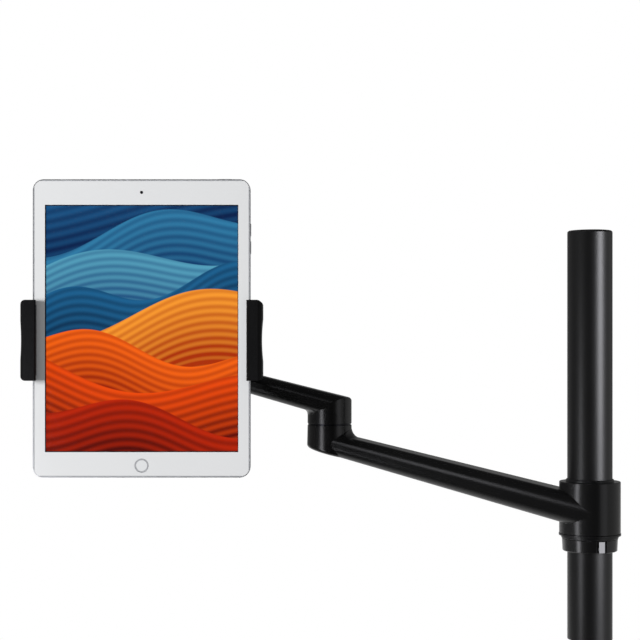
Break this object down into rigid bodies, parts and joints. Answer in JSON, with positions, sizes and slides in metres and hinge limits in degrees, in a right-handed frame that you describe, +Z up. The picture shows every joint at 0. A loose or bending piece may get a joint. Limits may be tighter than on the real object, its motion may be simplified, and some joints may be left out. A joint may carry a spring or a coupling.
{
  "type": "adjustable screen arm",
  "caption": "Pole-mounted two-section swing arm with elbow pivot, tilting wrist and sprung two-jaw holder gripping a tablet; slides, swings, folds, tilts and turns.",
  "frame": {"origin": "on the pole's axis at its lower end, at the mouth of the threaded joint", "axes": "+Z up along the pole, +X to the right of the screen, +Y away from the viewer"},
  "size_m": [0.4806, 0.0889, 0.3693],
  "materials": {
    "black_coat": "satin",
    "black_steel": "satin",
    "black_plastic": "satin",
    "nylon": "satin",
    "steel": "satin",
    "bright_steel": "polished",
    "brass": "satin",
    "rubber": "matte",
    "dark_rubber": "matte",
    "silver_case": "satin",
    "cover_glass": "gloss",
    "screen": "gloss",
    "battery": "satin",
    "circuit": "satin",
    "lens": "gloss",
    "white_plastic": "gloss"
  },
  "bodies": {
    "pole": {"pole_tube": "black_coat", "pole_cap": "black_plastic", "pole_joint_insert": "steel"},
    "lock_ring": {"lock_ring": "black_coat", "lock_ring_gib": "bright_steel", "lock_ring_screw": "steel", "thrust_washer": "black_plastic"},
    "main_arm": {"main_arm": "black_coat", "lower_bush": "black_plastic", "upper_bush": "black_plastic", "elbow_upper_bush": "nylon", "elbow_lower_bush": "nylon", "elbow_washer": "black_steel", "elbow_cap": "black_plastic"},
    "forearm": {"forearm": "black_coat", "elbow_pin": "steel", "elbow_screw": "steel", "elbow_pressure_washer": "steel", "elbow_spring_washer": "steel", "wrist_bush": "nylon"},
    "wrist_yoke": {"wrist_yoke": "black_coat", "wrist_washer": "steel", "wrist_screw": "steel", "tilt_bolt": "steel", "tilt_washers": "nylon"},
    "tilt_knob": {"tilt_knob": "black_plastic", "tilt_knob_insert": "brass"},
    "tilt_head": {"tilt_knuckle": "black_coat", "swivel_washer": "nylon", "swivel_retainer": "steel", "swivel_screw": "steel"},
    "holder": {"holder_back_shell": "black_plastic", "holder_front_cover": "black_plastic", "holder_pad": "dark_rubber", "holder_screws": "steel", "pinion_axle": "steel", "jaw_spring_upper": "steel", "jaw_spring_lower": "steel"},
    "pinion": {"pinion": "nylon"},
    "jaw_right": {"jaw_slide_right": "black_steel", "jaw_grip_right": "black_plastic", "jaw_lining_right": "rubber", "jaw_screws_right": "steel"},
    "jaw_left": {"jaw_slide_left": "black_steel", "jaw_grip_left": "black_plastic", "jaw_lining_left": "rubber", "jaw_screws_left": "steel"},
    "tablet": {"tablet_back_shell": "silver_case", "tablet_glass": "cover_glass", "tablet_display": "screen", "tablet_battery": "battery", "tablet_board": "circuit", "tablet_front_camera": "lens", "tablet_rear_camera": "lens"},
    "home_button": {"home_button": "white_plastic"},
    "power_button": {"power_button": "silver_case"},
    "volume_up_button": {"volume_up_button": "silver_case"},
    "volume_down_button": {"volume_down_button": "silver_case"}
  },
  "joints": [
    {"name": "height_slide", "type": "slide", "parent": "pole", "child": "lock_ring", "axis": [0, 0, 1], "range_m": [-0.055, 0.19]},
    {"name": "arm_swing", "type": "hinge", "parent": "lock_ring", "child": "main_arm", "pos_m": [0, 0, 0.0839], "axis": [0, 0, 1], "continuous": true},
    {"name": "elbow", "type": "hinge", "parent": "main_arm", "child": "forearm", "pos_m": [-0.21058, 0.03865, 0.1709], "axis": [0, 0, 1], "range_deg": [-145, 90]},
    {"name": "wrist_turn", "type": "hinge", "parent": "forearm", "child": "wrist_yoke", "pos_m": [-0.35998, 0.03865, 0.2372], "axis": [0, 0, 1], "range_deg": [-165, 5]},
    {"name": "tilt", "type": "hinge", "parent": "wrist_yoke", "child": "tilt_head", "pos_m": [-0.35998, 0.03865, 0.2515], "axis": [1, 0, 0], "range_deg": [-60, 25]},
    {"name": "tilt_knob_turn", "type": "hinge", "parent": "wrist_yoke", "child": "tilt_knob", "pos_m": [-0.35998, 0.03865, 0.2515], "axis": [1, 0, 0], "continuous": true},
    {"name": "screen_turn", "type": "hinge", "parent": "tilt_head", "child": "holder", "pos_m": [-0.35998, 0.00095, 0.2413], "axis": [0, -1, 0], "range_deg": [-90, 90]},
    {"name": "jaw_right_slide", "type": "slide", "parent": "holder", "child": "jaw_right", "axis": [1, 0, 0], "range_m": [0, 0.024], "stiffness_N_per_m": 300, "springref_m": -0.02, "deforming": ["jaw_spring_upper", "jaw_spring_lower"]},
    {"name": "jaw_left_slide", "type": "slide", "parent": "holder", "child": "jaw_left", "axis": [-1, 0, 0], "range_m": [0, 0.024]},
    {"name": "pinion_turn", "type": "hinge", "parent": "holder", "child": "pinion", "pos_m": [-0.35998, -0.01305, 0.2413], "axis": [0, 1, 0], "range_deg": [-1, 173]},
    {"name": "tablet_slide", "type": "slide", "parent": "holder", "child": "tablet", "axis": [0, 0, 1], "range_m": [-0.04, 0.17]},
    {"name": "home_button_press", "type": "slide", "parent": "tablet", "child": "home_button", "axis": [0, 1, 0], "range_m": [0, 0.0003], "stiffness_N_per_m": 800},
    {"name": "power_button_press", "type": "slide", "parent": "tablet", "child": "power_button", "axis": [0, 0, -1], "range_m": [0, 0.00025], "stiffness_N_per_m": 800},
    {"name": "volume_up_press", "type": "slide", "parent": "tablet", "child": "volume_up_button", "axis": [-1, 0, 0], "range_m": [0, 0.00025], "stiffness_N_per_m": 800},
    {"name": "volume_down_press", "type": "slide", "parent": "tablet", "child": "volume_down_button", "axis": [-1, 0, 0], "range_m": [0, 0.00025], "stiffness_N_per_m": 800}
  ],
  "couplings": [
    {"joint": "jaw_left_slide", "follows": "jaw_right_slide", "ratio": 1},
    {"joint": "pinion_turn", "follows": "jaw_right_slide", "rad_per_m": 125}
  ]
}
